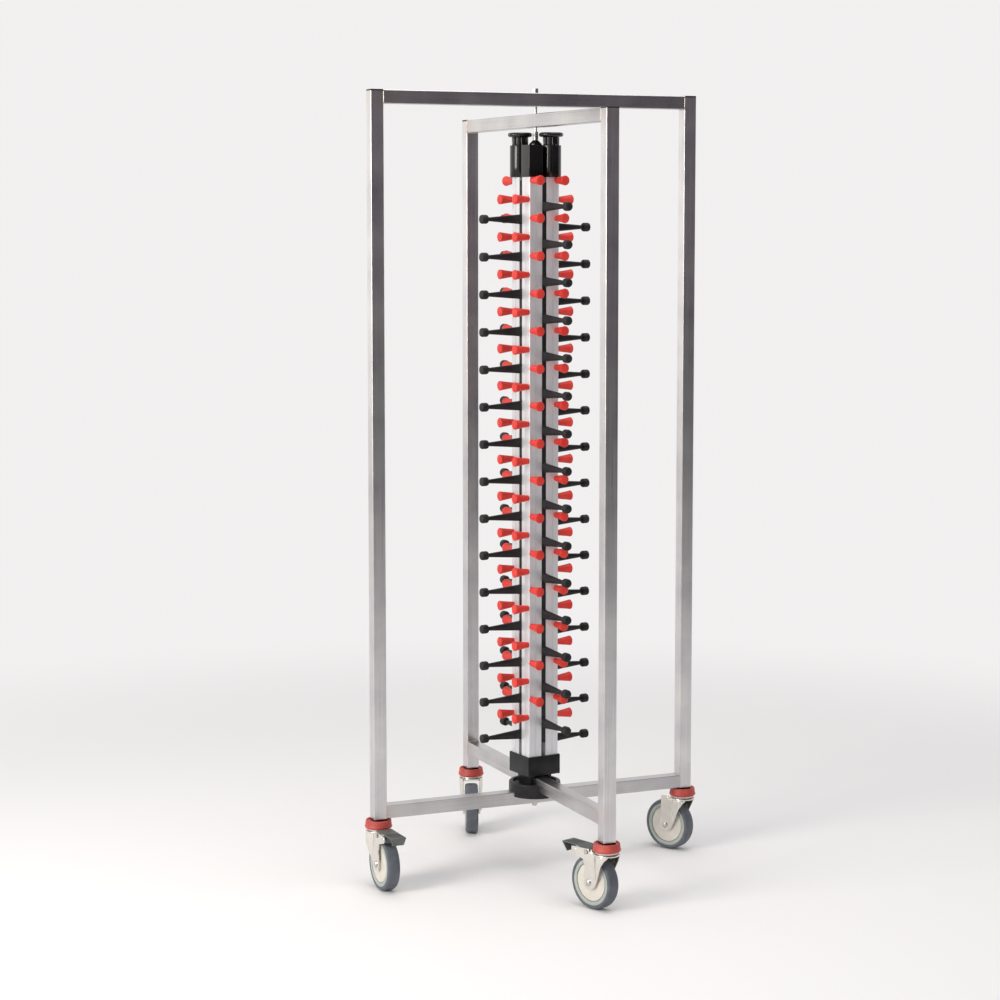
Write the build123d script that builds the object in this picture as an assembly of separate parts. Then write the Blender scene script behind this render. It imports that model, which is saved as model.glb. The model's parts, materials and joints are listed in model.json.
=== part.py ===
from build123d import *
import os
from math import cos, radians, sin

# A mobile rack for plated meals: two welded hoops of square tube cross at right angles on four
# swivel castors, and carry a column with four stacks of plate supports.
# Millimetres. +Z is up, z = 0 is the floor, and the tie rod's axis is the Z axis.
# X runs along the outer hoop, Y along the inner hoop. The front is -Y.

# ---- driving dimensions -------------------------------------------------------------------------
TUBE = 25.0                 # square stainless tube of both hoops
TUBE_WALL = 1.5
TUBE_CORNER = 1.4           # outer corner radius of the tube
HOOP_RADIUS = 320.0         # tie rod to the middle of a post
POST_BOTTOM = 129.0         # floor to the open end of a post
OUTER_BOTTOM_BAR = 142.0    # heights of the middles of the cross bars
INNER_BOTTOM_BAR = 171.5
INNER_TOP_BAR = 1428.3
OUTER_TOP_BAR = 1467.1
CAP_FLANGE = 3.0
CAP_PROUD = 1.0             # a cap stands this far above its bar

COLUMN_TURN = 7.6           # degrees the column is turned from the hoops
COLUMN_HALF = 32.2          # half the width of the square column
CHANNEL_HALF = 4.9          # half the width of the channel that a strip runs in
ROWS = 15
PITCH = 70.0
CONE_ROW_LEFT_RIGHT = 301.7     # height of the lowest row of cones
CONE_ROW_FRONT_REAR = 336.7
TRAVEL = 34.0               # how far each strip slides
LOWEST_ARM_BELOW_CONE = {"left": 65.3, "right": 65.3, "front": 72.8, "rear": 72.8}
LIFT = {"left": 28.6, "right": 13.7, "front": 24.6, "rear": 2.0}    # strips as they stand

FOOT_TOP = 225.3
HEAD_BOTTOM = 1323.5
HEAD_TOP = 1382.7

ROD_RADIUS = 3.0            # M6 tie rod
RUN = 0.05                  # running clearance of a pin in its bore, on the radius
GAP = 0.3                   # space between parts that slide or turn past each other

WHEEL_RADIUS = 50.0
TRAIL = 29.5                # swivel axis to axle
CASTORS = {                 # place of the post, and the direction that the wheel trails in
    "left": (-HOOP_RADIUS, 0.0, -88.5),
    "right": (HOOP_RADIUS, 0.0, 118.0),
    "front": (0.0, -HOOP_RADIUS, 109.5),
    "rear": (0.0, HOOP_RADIUS, -110.5),
}
BRAKED = ("left", "front")
FACES = {"left": 180.0, "front": 270.0, "right": 0.0, "rear": 90.0}    # outward direction, degrees

os.makedirs("parts", exist_ok=True)


# ---- helpers ------------------------------------------------------------------------------------
def save(name, *solids):
    shape = solids[0] if len(solids) == 1 else Compound(children=list(solids))
    export_step(shape, f"parts/{name}.step")


def block(x, y, z):
    """A box from its three (low, high) pairs."""
    size = [high - low for low, high in (x, y, z)]
    middle = [(low + high) / 2 for low, high in (x, y, z)]
    return Pos(*middle) * Box(*size)


def rod(radius, low, high):
    """An upright cylinder on the Z axis."""
    return Pos(0, 0, (low + high) / 2) * Cylinder(radius, high - low)


def hexagon(across_flats, low, high):
    section = Pos(0, 0, low) * RegularPolygon(across_flats / 2, 6, major_radius=False)
    return extrude(section, high - low)


def turned(outline):
    """A solid of revolution about Z from (radius, z) points."""
    points = [(radius, 0, z) for radius, z in outline]
    return revolve(make_face(Polyline(*points, close=True)), Axis.Z)


def on_column(shape):
    """From the column's own axes to the frame's."""
    return Rot(0, 0, COLUMN_TURN) * shape


# ---- the two hoops ------------------------------------------------------------------------------
def square_tube(length):
    inner = TUBE - 2 * TUBE_WALL
    section = RectangleRounded(TUBE, TUBE, TUBE_CORNER) - Rectangle(inner, inner)
    return extrude(section, length)


def post(x, y, top):
    return Pos(x, y, POST_BOTTOM) * square_tube(top - POST_BOTTOM)


def cross_bar(height, turn):
    """A bar welded between two posts, drilled for the tie rod."""
    length = 2 * HOOP_RADIUS - TUBE
    along_x = Pos(-length / 2, 0, 0) * Rot(0, 90, 0) * square_tube(length)
    bored = along_x - Cylinder(ROD_RADIUS + GAP, 2 * TUBE)
    return Pos(0, 0, height) * Rot(0, 0, turn) * bored


def post_top(bar_height):
    return bar_height + TUBE / 2 + CAP_PROUD - CAP_FLANGE


def post_cap(x, y, top):
    """Black moulded cap with a spigot inside the tube."""
    spigot = TUBE - 2 * TUBE_WALL - 0.2
    flange = extrude(RectangleRounded(TUBE, TUBE, TUBE_CORNER), CAP_FLANGE)
    flange = chamfer(flange.faces().sort_by(Axis.Z)[-1].edges(), 0.8)
    return Pos(x, y, top) * (flange + block((-spigot / 2, spigot / 2), (-spigot / 2, spigot / 2), (-14, 0)))


OUTER_POST_TOP = post_top(OUTER_TOP_BAR)
INNER_POST_TOP = post_top(INNER_TOP_BAR)
POSTS = {
    "outer_post_left": (-HOOP_RADIUS, 0.0, OUTER_POST_TOP),
    "outer_post_right": (HOOP_RADIUS, 0.0, OUTER_POST_TOP),
    "inner_post_front": (0.0, -HOOP_RADIUS, INNER_POST_TOP),
    "inner_post_rear": (0.0, HOOP_RADIUS, INNER_POST_TOP),
}
for name, (x, y, top) in POSTS.items():
    save(name, post(x, y, top))
save("outer_bottom_bar", cross_bar(OUTER_BOTTOM_BAR, 0))
save("outer_top_bar", cross_bar(OUTER_TOP_BAR, 0))
save("inner_bottom_bar", cross_bar(INNER_BOTTOM_BAR, 90))
save("inner_top_bar", cross_bar(INNER_TOP_BAR, 90))
save("post_caps", *[post_cap(x, y, top) for x, y, top in POSTS.values()])

# ---- hub that holds the two bottom bars in a cross ----------------------------------------------
HUB_RADIUS = 49.5
HUB_BOTTOM = 145.6
HUB_TOP = 171.7
HUB_RECESS = 4.7
HUB_RIM = 7.5
HUB_DIMPLES = 8
HUB_DIMPLE_RADIUS = 2.8
OUTER_BAR_TOP = OUTER_BOTTOM_BAR + TUBE / 2
INNER_BAR_BOTTOM = INNER_BOTTOM_BAR - TUBE / 2
INNER_BAR_TOP = INNER_BOTTOM_BAR + TUBE / 2


def hub():
    body = rod(HUB_RADIUS, HUB_BOTTOM, HUB_TOP)
    body = fillet(body.edges().filter_by(GeomType.CIRCLE).sort_by(Axis.Z)[-1], 2.5)
    floor = HUB_TOP - HUB_RECESS
    body -= rod(HUB_RADIUS - HUB_RIM, floor, HUB_TOP + 1)
    for index in range(HUB_DIMPLES):
        angle = (index + 0.5) * 360 / HUB_DIMPLES
        dimple = rod(HUB_DIMPLE_RADIUS, floor - 3, floor + 1)
        body -= Rot(0, 0, angle) * Pos(HUB_RADIUS - HUB_RIM - 2 * HUB_DIMPLE_RADIUS, 0, 0) * dimple
    across = TUBE / 2
    beyond = HUB_RADIUS + 1
    body -= block((-beyond, beyond), (-across, across), (HUB_BOTTOM - 1, OUTER_BAR_TOP))
    body -= block((-across, across), (-beyond, beyond), (INNER_BAR_BOTTOM, HUB_TOP + 1))
    return body - rod(ROD_RADIUS + GAP, HUB_BOTTOM - 1, HUB_TOP + 1)


save("hub", hub())

# ---- tie rod, nuts and washers ------------------------------------------------------------------
ROD_BOTTOM = 121.5
ROD_TOP = 1488.2
DOME_TOP = 1392.3
NUT_FLATS = 10.0
NUT_HEIGHT = 5.0
SLEEVE_HEIGHT = 5.5         # spacer between the head's dome and the lock nuts
OUTER_BAR_BOTTOM = OUTER_BOTTOM_BAR - TUBE / 2
OUTER_TOP_FACE = OUTER_TOP_BAR + TUBE / 2
WASHER = 1.6
WASHER_RADIUS = 9.5
SLEEVE_RADIUS = 5.2


def nut(bottom, height=NUT_HEIGHT):
    return hexagon(NUT_FLATS, bottom, bottom + height) - rod(ROD_RADIUS, bottom - 1, bottom + height + 1)


def collar(radius, bottom, height):
    return rod(radius, bottom, bottom + height) - rod(ROD_RADIUS, bottom - 1, bottom + height + 1)


SLEEVE_BOTTOM = DOME_TOP + GAP
LOCK_NUTS = SLEEVE_BOTTOM + SLEEVE_HEIGHT
save("tie_rod", rod(ROD_RADIUS, ROD_BOTTOM, ROD_TOP))
save(
    "tie_rod_nuts",
    collar(WASHER_RADIUS, OUTER_BAR_BOTTOM - WASHER, WASHER),
    nut(OUTER_BAR_BOTTOM - WASHER - NUT_HEIGHT),
    collar(SLEEVE_RADIUS, SLEEVE_BOTTOM, SLEEVE_HEIGHT),
    nut(LOCK_NUTS),
    nut(LOCK_NUTS + NUT_HEIGHT),
    nut(OUTER_TOP_FACE, ROD_TOP - OUTER_TOP_FACE),
)

# ---- column: foot, core, four corner profiles and head ------------------------------------------
FOOT_HALF = 35.5
FOOT_BOTTOM = 188.1
NECK_HALF = 23.3
NECK_BOTTOM = 168.0
NECK_SLOT_HALF = 16.2       # wider than the bar, so the column can turn a little
SOCKET_DEPTH = 18.7         # the profiles stand this deep in the foot
PROFILE_BOTTOM = FOOT_TOP - SOCKET_DEPTH
PROFILE_HOLLOW = (8.9, 30.3)
GROOVE_DEEP = 7.0           # how far out the strip's guide groove is cut
GROOVE = (20.3, 25.5)
TRIM_LINE = (18.7, 1.2, 0.6)    # place, width and depth of the line along each outer face


def foot_block():
    body = block((-FOOT_HALF, FOOT_HALF), (-FOOT_HALF, FOOT_HALF), (FOOT_BOTTOM, FOOT_TOP))
    body = fillet(body.edges().filter_by(Axis.Z), 1.5)
    body += block((-NECK_HALF, NECK_HALF), (-NECK_HALF, NECK_HALF), (NECK_BOTTOM, FOOT_BOTTOM))
    socket = COLUMN_HALF + 0.1
    body -= block((-socket, socket), (-socket, socket), (PROFILE_BOTTOM, FOOT_TOP + 1))
    slot_top = INNER_BAR_TOP + GAP
    body -= block((-NECK_SLOT_HALF, NECK_SLOT_HALF), (-60, 60), (NECK_BOTTOM - 1, slot_top))
    return body - rod(ROD_RADIUS + RUN, NECK_BOTTOM, FOOT_TOP)


def corner_section():
    """The aluminium profile in the +X +Y corner: a square hollow with a guide groove on each
    channel side and a trim line on each outer face."""
    middle = (CHANNEL_HALF + COLUMN_HALF) / 2
    side = COLUMN_HALF - CHANNEL_HALF
    section = Pos(middle, middle) * Rectangle(side, side)
    section = fillet(section.vertices().sort_by(lambda v: v.X + v.Y)[-1], 1.5)
    hollow_side = PROFILE_HOLLOW[1] - PROFILE_HOLLOW[0]
    hollow_middle = sum(PROFILE_HOLLOW) / 2
    section -= Pos(hollow_middle, hollow_middle) * Rectangle(hollow_side, hollow_side)
    groove_middle = sum(GROOVE) / 2
    groove_width = GROOVE[1] - GROOVE[0]
    place, width, depth = TRIM_LINE
    section -= Pos(CHANNEL_HALF, groove_middle) * Rectangle(2 * (GROOVE_DEEP - CHANNEL_HALF), groove_width)
    section -= Pos(groove_middle, CHANNEL_HALF) * Rectangle(groove_width, 2 * (GROOVE_DEEP - CHANNEL_HALF))
    section -= Pos(COLUMN_HALF, place) * Rectangle(2 * depth, width)
    section -= Pos(place, COLUMN_HALF) * Rectangle(width, 2 * depth)
    return section


CORNERS = {"rear_right": 0, "rear_left": 90, "front_left": 180, "front_right": 270}
for name, turn in CORNERS.items():
    profile = extrude(Pos(0, 0, PROFILE_BOTTOM) * corner_section(), HEAD_BOTTOM - PROFILE_BOTTOM)
    save(f"corner_profile_{name}", on_column(Rot(0, 0, turn) * profile))
save("foot_block", on_column(foot_block()))

JAW_BOTTOM = 1271.0         # the clamp jaws reach down behind the strips to here
CORE_REACH = 11.1


def centre_core():
    """Black cross-shaped moulding in the middle of the column, behind the strips."""
    half = CHANNEL_HALF - 0.2
    body = block((-half, half), (-CORE_REACH, CORE_REACH), (PROFILE_BOTTOM, JAW_BOTTOM - 4))
    body += block((-CORE_REACH, CORE_REACH), (-half, half), (PROFILE_BOTTOM, JAW_BOTTOM - 4))
    return body - rod(ROD_RADIUS + GAP, PROFILE_BOTTOM - 1, JAW_BOTTOM)


save("centre_core", on_column(centre_core()))

HEAD_HALF = 35.5
HEAD_NOTCH = 5.6            # the square corners of the head stop this far from the middle planes
HEAD_CORE = 22.4
CLAMP_AT = 21.1             # clamp screws stand at (-CLAMP_AT, CLAMP_AT) and (CLAMP_AT, -CLAMP_AT)
CLAMP_RADIUS = 19.1
STUD_RADIUS = 4.0
JAW_PLATE = 3.7
RECESS = (-26.6, 5.1)       # the jaw's room under the head, for the left clamp's X
CLAMPS = {"left": 0, "right": 180}
DOME_RADIUS = 12.1
DOME_COLLAR = 2.8           # height of the step under the dome
DOME_FLAT = 5.2
JAW_OUT = (11.6, 15.3)      # a jaw's prong, out from the tie rod
JAW_HALF = 4.3              # half the prong's width
JAW_CORNER = 26.1


def head_block():
    tall = (HEAD_BOTTOM, HEAD_TOP)
    body = block((-HEAD_CORE, HEAD_CORE), (-HEAD_CORE, HEAD_CORE), tall)
    spigot = (PROFILE_HOLLOW[0] + 0.2, PROFILE_HOLLOW[1] - 0.2)
    recess_y = (-RECESS[1], -RECESS[0])
    for turn in (0, 180):
        square = block((HEAD_NOTCH, HEAD_HALF), (HEAD_NOTCH, HEAD_HALF), tall)
        body += Rot(0, 0, turn) * fillet(square.edges().filter_by(Axis.Z), 1.5)
        body += Rot(0, 0, turn) * block(spigot, spigot, (HEAD_BOTTOM - 18, HEAD_BOTTOM))
        body += Rot(0, 0, turn) * Pos(-CLAMP_AT, CLAMP_AT, 0) * rod(CLAMP_RADIUS, *tall)
    dome_foot = HEAD_TOP + DOME_COLLAR
    body += rod(DOME_RADIUS, HEAD_TOP, dome_foot)
    body += turned([(0, dome_foot), (DOME_RADIUS, dome_foot), (DOME_FLAT, DOME_TOP), (0, DOME_TOP)])
    for turn in CLAMPS.values():
        body -= Rot(0, 0, turn) * block(RECESS, recess_y, (HEAD_BOTTOM - 1, HEAD_BOTTOM + JAW_PLATE + 0.5))
        body -= Rot(0, 0, turn) * Pos(-CLAMP_AT, CLAMP_AT, 0) * rod(STUD_RADIUS + RUN, *tall)
    return body - rod(ROD_RADIUS + RUN, HEAD_BOTTOM - 1, DOME_TOP + 1)


def clamp_jaw():
    """L-shaped steel jaw of the left clamp: its two prongs hang behind the left and rear strips."""
    z = (HEAD_BOTTOM, HEAD_BOTTOM + JAW_PLATE)
    near, far = JAW_OUT
    body = block((-far, -near), (-JAW_HALF, JAW_CORNER), z) + block((-JAW_CORNER, JAW_HALF), (near, far), z)
    body += block((-JAW_CORNER, -near), (near, JAW_CORNER), z)
    body += block((-far, -near), (-JAW_HALF, JAW_HALF), (JAW_BOTTOM, z[1]))
    body += block((-JAW_HALF, JAW_HALF), (near, far), (JAW_BOTTOM, z[1]))
    return body - Pos(-CLAMP_AT, CLAMP_AT, 0) * rod(STUD_RADIUS + GAP, z[0] - 1, z[1] + 1)


save("head_block", on_column(head_block()))
save("clamp_jaws", *[on_column(Rot(0, 0, turn) * clamp_jaw()) for turn in CLAMPS.values()])

# ---- clamp knobs --------------------------------------------------------------------------------
KNOB_RADIUS = 23.0
KNOB_STEM = 15.4
KNOB_DISC = (1398.1, 1406.5)
KNOB_DISH = 15.9
FLUTES = 10
FLUTE_RADIUS = 2.6
FLUTE_AT = 16.2             # the flutes' middles, outside the stem


def knob():
    stem_bottom = HEAD_TOP + GAP
    stem = rod(KNOB_STEM, stem_bottom, KNOB_DISC[0])
    for index in range(FLUTES):
        groove = Pos(FLUTE_AT, 0, 0) * rod(FLUTE_RADIUS, stem_bottom + 3, KNOB_DISC[0])
        stem -= Rot(0, 0, index * 360 / FLUTES) * groove
    disc = rod(KNOB_RADIUS, *KNOB_DISC)
    disc = chamfer(disc.edges().filter_by(GeomType.CIRCLE), 2.0)
    dish = rod(KNOB_DISH, KNOB_DISC[1] - 1, KNOB_DISC[1] + 1)
    return stem + disc - dish - rod(STUD_RADIUS, stem_bottom - 1, KNOB_DISC[0])


for side, turn in CLAMPS.items():
    place = Rot(0, 0, turn) * Pos(-CLAMP_AT, CLAMP_AT, 0)
    save(f"knob_{side}", on_column(place * knob()))
    save(f"knob_stud_{side}", on_column(place * rod(STUD_RADIUS, HEAD_BOTTOM + 1, KNOB_DISC[0])))

# ---- red cones on the column's faces ------------------------------------------------------------
CONE_LENGTH = 30.8
CONE_NARROW = 5.1
CONE_WIDE = 9.3
CONE_FROM_MIDDLE = 27.0


def cone():
    """Tapered stop, its narrow end at the origin and its axis along +X."""
    shape = Pos(0, 0, CONE_LENGTH / 2) * Cone(CONE_NARROW, CONE_WIDE, CONE_LENGTH)
    shape = fillet(shape.edges().filter_by(GeomType.CIRCLE).sort_by(Axis.Z)[-1], 1.7)
    return Rot(0, 90, 0) * shape


def cones_on(face, first_row):
    one = cone()
    rows = [first_row + row * PITCH for row in range(ROWS)]
    return [
        on_column(Rot(0, 0, FACES[face]) * Pos(COLUMN_HALF, side * CONE_FROM_MIDDLE, z) * one)
        for z in rows
        for side in (-1, 1)
    ]


save("cones_left_right", *[c for f in ("left", "right") for c in cones_on(f, CONE_ROW_LEFT_RIGHT)])
save("cones_front_rear", *[c for f in ("front", "rear") for c in cones_on(f, CONE_ROW_FRONT_REAR)])

# ---- four sliding stacks: strip, arms and arm tips ----------------------------------------------
STRIP_HALF = CHANNEL_HALF - GAP
STRIP_BACK = 15.9
STRIP_FRONT = 31.4
STRIP_BOTTOM = FOOT_TOP + 1.0                               # at its lowest
STRIP_TOP = HEAD_BOTTOM - 1.0 - TRAVEL
ARM_ROOT = (4.4, 9.3)      # half width and half height where the arm leaves the strip
ARM_NECK = 3.5
TIP_RADIUS = 8.4
TIP = (104.5, 119.5)        # inner and outer end of a tip, from the tie rod
TIP_SOCKET = 5.6


def strip():
    """Black strip on the +X face, with a rib each side that runs in the profiles' grooves."""
    body = block((STRIP_BACK, STRIP_FRONT), (-STRIP_HALF, STRIP_HALF), (STRIP_BOTTOM, STRIP_TOP))
    rib = (GROOVE[0] + GAP, GROOVE[1] - GAP)
    reach = GROOVE_DEEP - GAP
    return body + block(rib, (-reach, reach), (STRIP_BOTTOM, STRIP_TOP))


def arm():
    """Arm along +X at z = 0, oval at the strip and round where it enters its tip."""
    root = Plane.YZ.offset(STRIP_FRONT) * Ellipse(*ARM_ROOT)
    neck = Plane.YZ.offset(TIP[0]) * Circle(ARM_NECK)
    taper = loft(Sketch() + [root, neck])
    tenon = Rot(0, 90, 0) * Pos(0, 0, TIP[0] + TIP_SOCKET / 2) * Cylinder(ARM_NECK, TIP_SOCKET)
    return taper + tenon


def arm_tip():
    """Rubber tip with bevelled ends, pushed over the end of the arm."""
    length = TIP[1] - TIP[0]
    body = chamfer(Cylinder(TIP_RADIUS, length).edges().filter_by(GeomType.CIRCLE), 2.2)
    body = Pos((TIP[0] + TIP[1]) / 2, 0, 0) * Rot(0, 90, 0) * body
    return body - Pos(TIP[0] + TIP_SOCKET / 2, 0, 0) * Rot(0, 90, 0) * Cylinder(ARM_NECK, TIP_SOCKET)


for face, direction in FACES.items():
    first_cone = CONE_ROW_LEFT_RIGHT if face in ("left", "right") else CONE_ROW_FRONT_REAR
    lowest_arm = first_cone - LOWEST_ARM_BELOW_CONE[face]
    place = Rot(0, 0, direction) * Pos(0, 0, LIFT[face])
    heights = [lowest_arm + row * PITCH for row in range(ROWS)]
    save(f"strip_{face}", on_column(place * strip()))
    save(f"arms_{face}", *[on_column(place * Pos(0, 0, z) * arm()) for z in heights])
    save(f"arm_tips_{face}", *[on_column(place * Pos(0, 0, z) * arm_tip()) for z in heights])

# ---- castors ------------------------------------------------------------------------------------
STEM_RADIUS = 6.0
STEM_TOP = 160.0
RIVET_HEAD_RADIUS = 10.3
RIVET_HEAD = (100.4, 103.9)
CROWN = (104.2, 108.2)
RACE = (108.5, 111.5)
RACE_RADIUS = 21.5
RING = (111.5, 127.5)
PLUG_FLANGE = 125.2
CROWN_RADIUS = 24.5
CROWN_BACK = 26.0           # the crown reaches this far back between the sides
FORK_INNER = 15.0
FORK_OUTER = 17.4
AXLE_RADIUS = 4.0
AXLE_HEAD = (6.4, 3.4)      # radius and height
WHEEL_HUB_HALF = 14.2
PEDAL_PIVOT = (36.0, 105.8)     # from the swivel axis, and up from the floor
EAR_RIVET = (63.9, 104.6)
EAR_RIVET_HEAD = (3.0, 1.2)     # radius and height
PIVOT_RADIUS = 3.0
PIVOT_HEAD = (4.3, 1.1)         # radius and height
SHOE_HALF = 8.4
LUG_INNER = 12.2            # the pedal's lugs are this far from its middle plane
LIP_HALF = 6.7              # half width of the pedal's lip at its lower edge
LIP_BOTTOM = (88.5, 97.0)       # from the swivel axis, and up from the floor
RIM_RADIUS = 42.5


def buffer_ring():
    """Flared buffer ring with a dished top that takes the end of the post."""
    low, high = RING
    return turned([
        (STEM_RADIUS, low), (23.9, low), (25.8, low + 2.3), (25.8, low + 4.3), (24.0, high - 1.2),
        (23.1, high), (20.5, high), (19.6, PLUG_FLANGE), (STEM_RADIUS, PLUG_FLANGE),
    ])


def stem():
    head = rod(RIVET_HEAD_RADIUS, *RIVET_HEAD)
    return rod(STEM_RADIUS, RIVET_HEAD[1], STEM_TOP) + head


def post_plug():
    """Black plug in the end of the post, with a flange that shows under the tube."""
    body = TUBE - 2 * TUBE_WALL - 0.2
    shape = block((-body / 2, body / 2), (-body / 2, body / 2), (POST_BOTTOM, STEM_TOP + 3))
    flange = extrude(RectangleRounded(TUBE, TUBE, TUBE_CORNER), POST_BOTTOM - PLUG_FLANGE)
    shape += Pos(0, 0, PLUG_FLANGE) * flange
    return shape - rod(STEM_RADIUS, PLUG_FLANGE - 1, STEM_TOP)


def race():
    return rod(RACE_RADIUS, *RACE) - rod(STEM_RADIUS, RACE[0] - 1, RACE[1] + 1)


def side_plate(braked):
    """One pressed side of the fork, drawn looking along -Y, 2.4 mm thick about y = 0."""
    top = CROWN[1]
    lobe_back = (41.8, 0, WHEEL_RADIUS)
    lobe_front = (15.3, 0, 43.6)
    if braked:
        back = Polyline((-17.2, 0, top), (28.5, 0, top), (30.5, 0, 112.2), (72.8, 0, 110.6), (73.7, 0, 105),
                        (69.1, 0, 98.5), (43.9, 0, 91.5), (39.7, 0, 78.4), lobe_back)
    else:
        back = Polyline((-17.2, 0, top), (38.3, 0, top), (39.7, 0, 78.4), lobe_back)
    lobe = ThreePointArc(lobe_back, (30, 0, 37.7), lobe_front)
    front = Line(lobe_front, (-1.7, 0, 76.7))
    flare = ThreePointArc((-1.7, 0, 76.7), (-7.7, 0, 89), (-17.2, 0, 104))
    close = Line((-17.2, 0, 104), (-17.2, 0, top))
    outline = make_face(Wire([*back.edges(), lobe, front, flare, close]))
    return extrude(outline, (FORK_OUTER - FORK_INNER) / 2, both=True)


def across(radius, x, z, low, high):
    """A cylinder along Y at (x, z), from y = low to y = high."""
    return Pos(x, (low + high) / 2, z) * Rot(90, 0, 0) * Cylinder(radius, high - low)


def fork(braked):
    """Pressed stainless fork, with the wheel trailing towards +X."""
    body = rod(CROWN_RADIUS, *CROWN)
    body += block((0, CROWN_BACK), (-FORK_OUTER, FORK_OUTER), CROWN)
    middle = (FORK_INNER + FORK_OUTER) / 2
    for side in (-1, 1):
        body += Pos(0, side * middle, 0) * side_plate(braked)
    beyond = 2 * FORK_OUTER
    body -= across(AXLE_RADIUS, TRAIL, WHEEL_RADIUS, -beyond, beyond)
    if braked:
        body -= across(PIVOT_RADIUS + RUN, *PEDAL_PIVOT, -beyond, beyond)
        for side in (-1, 1):
            ends = sorted((side * FORK_OUTER, side * (FORK_OUTER + EAR_RIVET_HEAD[1])))
            body += across(EAR_RIVET_HEAD[0], *EAR_RIVET, *ends)
    body -= rod(STEM_RADIUS + RUN, CROWN[0] - 1, CROWN[1] + 1)
    tall = 2 * CROWN[1]
    keep = rod(CROWN_RADIUS + 1, 0, tall) + block((0, tall), (-beyond, beyond), (0, tall))
    return body & keep


def axle():
    """Sleeve bolt through the fork, with a domed head at each end."""
    shape = Cylinder(AXLE_RADIUS, 2 * FORK_OUTER)
    head = Pos(0, 0, FORK_OUTER + AXLE_HEAD[1] / 2) * Cylinder(*AXLE_HEAD)
    head = chamfer(head.edges().filter_by(GeomType.CIRCLE).sort_by(Axis.Z)[-1], 1.5)
    return on_axle(shape + head + Rot(180, 0, 0) * head)


def on_axle(shape):
    return Pos(TRAIL, 0, WHEEL_RADIUS) * Rot(90, 0, 0) * shape


def wheel_centre():
    """Wheel centre with a flat disc, a groove and a rim that carries the tyre."""
    disc, rim, hub_radius, web, groove = 34.3, 11.6, 12.5, 10.7, 9.7
    bore = AXLE_RADIUS + RUN
    side = [(hub_radius, WHEEL_HUB_HALF), (hub_radius, web), (disc, web), (disc + 0.4, groove),
            (disc + 1.4, groove), (disc + 1.8, rim), (RIM_RADIUS, rim)]
    outline = [(bore, WHEEL_HUB_HALF), *side]
    outline += [(radius, -z) for radius, z in reversed(side)] + [(bore, -WHEEL_HUB_HALF)]
    return on_axle(turned(outline))


def tyre():
    """Grey tyre with rounded shoulders and a slightly crowned tread."""
    shoulder, flank, tread_half, seat = 46.4, 12.4, 8.8, 11.6
    edge = WHEEL_RADIUS - 0.4
    tread = ThreePointArc((edge, 0, -tread_half), (WHEEL_RADIUS, 0, 0), (edge, 0, tread_half))
    upper = ThreePointArc((edge, 0, tread_half), (48.7, 0, 11.4), (shoulder, 0, flank))
    lower = ThreePointArc((shoulder, 0, -flank), (48.7, 0, -11.4), (edge, 0, -tread_half))
    inside = Polyline((shoulder, 0, flank), (RIM_RADIUS, 0, seat), (RIM_RADIUS, 0, -seat), (shoulder, 0, -flank))
    section = make_face(Wire([tread, upper, *inside.edges(), lower]))
    return on_axle(revolve(section, Axis.Z))


def pedal():
    """Brake pedal: a plate between the fork's ears with a tapered lip that slants in under its
    back edge, lugs on two pivot pins and a shoe over the tyre."""
    half = FORK_INNER - 0.4
    lip_back, lip_low = LIP_BOTTOM
    plate = make_face(Polyline((27.6, 0, 111.4), (27.6, 0, 113.9), (56, 0, 114.2), (99.9, 0, 114.3),
                               (100.7, 0, 113.1), (lip_back, 0, lip_low), (lip_back - 1.9, 0, lip_low + 1.4),
                               (96.7, 0, 111.9), (56, 0, 111.8), close=True))
    body = extrude(plate, half, both=True)
    for side in (-1, 1):
        corner = Plane.YZ.offset(lip_back - 4) * Polyline(
            (side * LIP_HALF, lip_low - 1), (side * half, 111), (side * FORK_OUTER, 111),
            (side * FORK_OUTER, lip_low - 1), close=True)
        body -= extrude(make_face(corner), 20)
    lug = make_face(Polyline((31, 0, 112), (31, 0, 102), (33.5, 0, 99.8), (39, 0, 99.8), (41.5, 0, 102),
                             (46, 0, 112), close=True))
    for side in (-1, 1):
        thickness = half - LUG_INNER
        body += Pos(0, side * (half + LUG_INNER) / 2, 0) * extrude(lug, thickness / 2, both=True)
        outer_face = FORK_OUTER + GAP
        body += across(PIVOT_RADIUS, *PEDAL_PIVOT, *sorted((side * LUG_INNER, side * outer_face)))
        head_ends = sorted((side * outer_face, side * (outer_face + PIVOT_HEAD[1])))
        body += across(PIVOT_HEAD[0], *PEDAL_PIVOT, *head_ends)
    shoe = make_face(Polyline((50.4, 0, 112.3), (50.4, 0, 98.6), (59.7, 0, 95.4), (63.5, 0, 112.3), close=True))
    return body + extrude(shoe, SHOE_HALF, both=True)


for name, (x, y, direction) in CASTORS.items():
    place = Pos(x, y, 0) * Rot(0, 0, direction)
    braked = name in BRAKED
    save(f"fork_{name}", place * fork(braked))
    save(f"axle_{name}", place * axle())
    save(f"wheel_centre_{name}", place * wheel_centre())
    save(f"tyre_{name}", place * tyre())
    if braked:
        save(f"pedal_{name}", place * pedal())

POST_PLACES = [Pos(x, y, 0) for x, y, _ in CASTORS.values()]
save("buffer_rings", *[place * buffer_ring() for place in POST_PLACES])
save("castor_stems", *[place * stem() for place in POST_PLACES])
save("swivel_races", *[place * race() for place in POST_PLACES])
save("post_plugs", *[place * post_plug() for place in POST_PLACES])


def column_direction(angle):
    """Unit vector in the frame's axes of a direction given in the column's."""
    turn = radians(angle + COLUMN_TURN)
    return round(cos(turn), 4), round(sin(turn), 4)


print("column faces point to", {face: column_direction(angle) for face, angle in FACES.items()})
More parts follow.
